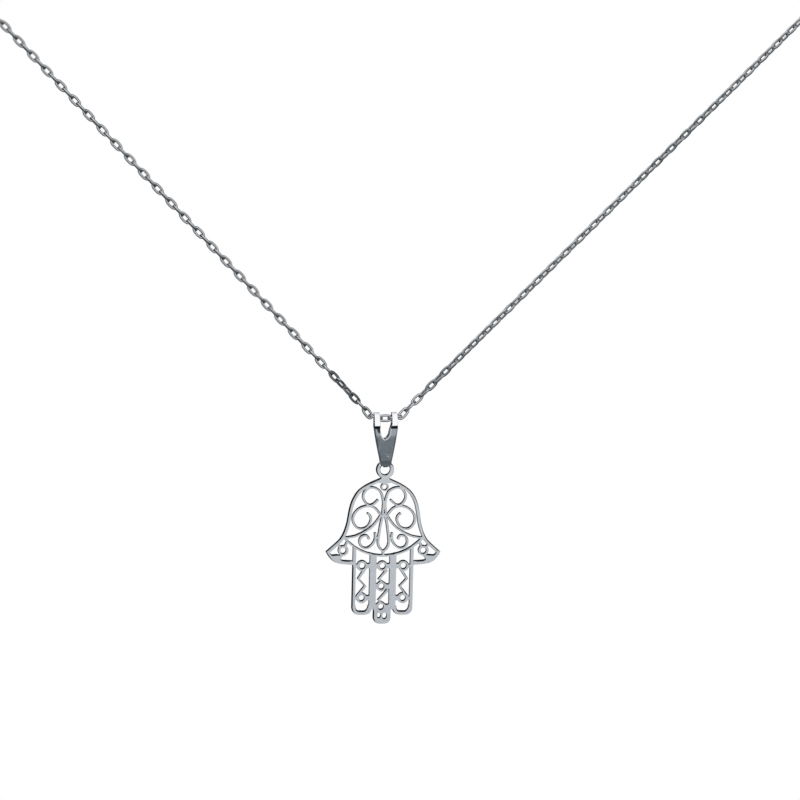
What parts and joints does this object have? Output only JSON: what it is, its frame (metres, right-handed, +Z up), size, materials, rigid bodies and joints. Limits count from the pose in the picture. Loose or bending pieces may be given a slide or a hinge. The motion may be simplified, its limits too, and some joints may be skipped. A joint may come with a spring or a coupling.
{
  "type": "hamsa pendant on its chain",
  "caption": "Flat pierced open-hand pendant with scroll openwork, hanging by its ring from a split bail on a fine oval-link chain necklace.",
  "frame": {"origin": "the middle of the barrel clasp at the nape, where the necklace hangs from the back of a neck", "axes": "+Z up, -Y towards the front face of the pendant, +X to the right of someone looking at that face"},
  "size_m": [0.1471, 0.0538, 0.1279],
  "materials": {
    "chain_silver": "polished silver wire, drawn and soldered links",
    "clasp_silver": "polished silver barrel",
    "bail_silver": "mirror-polished silver sheet",
    "hamsa_silver": "polished silver sheet with bright cut edges"
  },
  "bodies": {
    "necklace": {"chain_left": "chain_silver", "chain_right": "chain_silver", "clasp": "clasp_silver"},
    "bail": {"bail": "bail_silver"},
    "hamsa": {"hamsa": "hamsa_silver"}
  },
  "joints": [
    {"name": "bail_swing", "type": "hinge", "parent": "necklace", "child": "bail", "pos_m": [-0.0024, -0.051, -0.093], "axis": [1, 0, 0], "range_deg": [-60, 60]},
    {"name": "hamsa_swing", "type": "hinge", "parent": "bail", "child": "hamsa", "pos_m": [-0.0024, -0.051, -0.10019], "axis": [1, 0, 0], "range_deg": [-45, 45]}
  ]
}
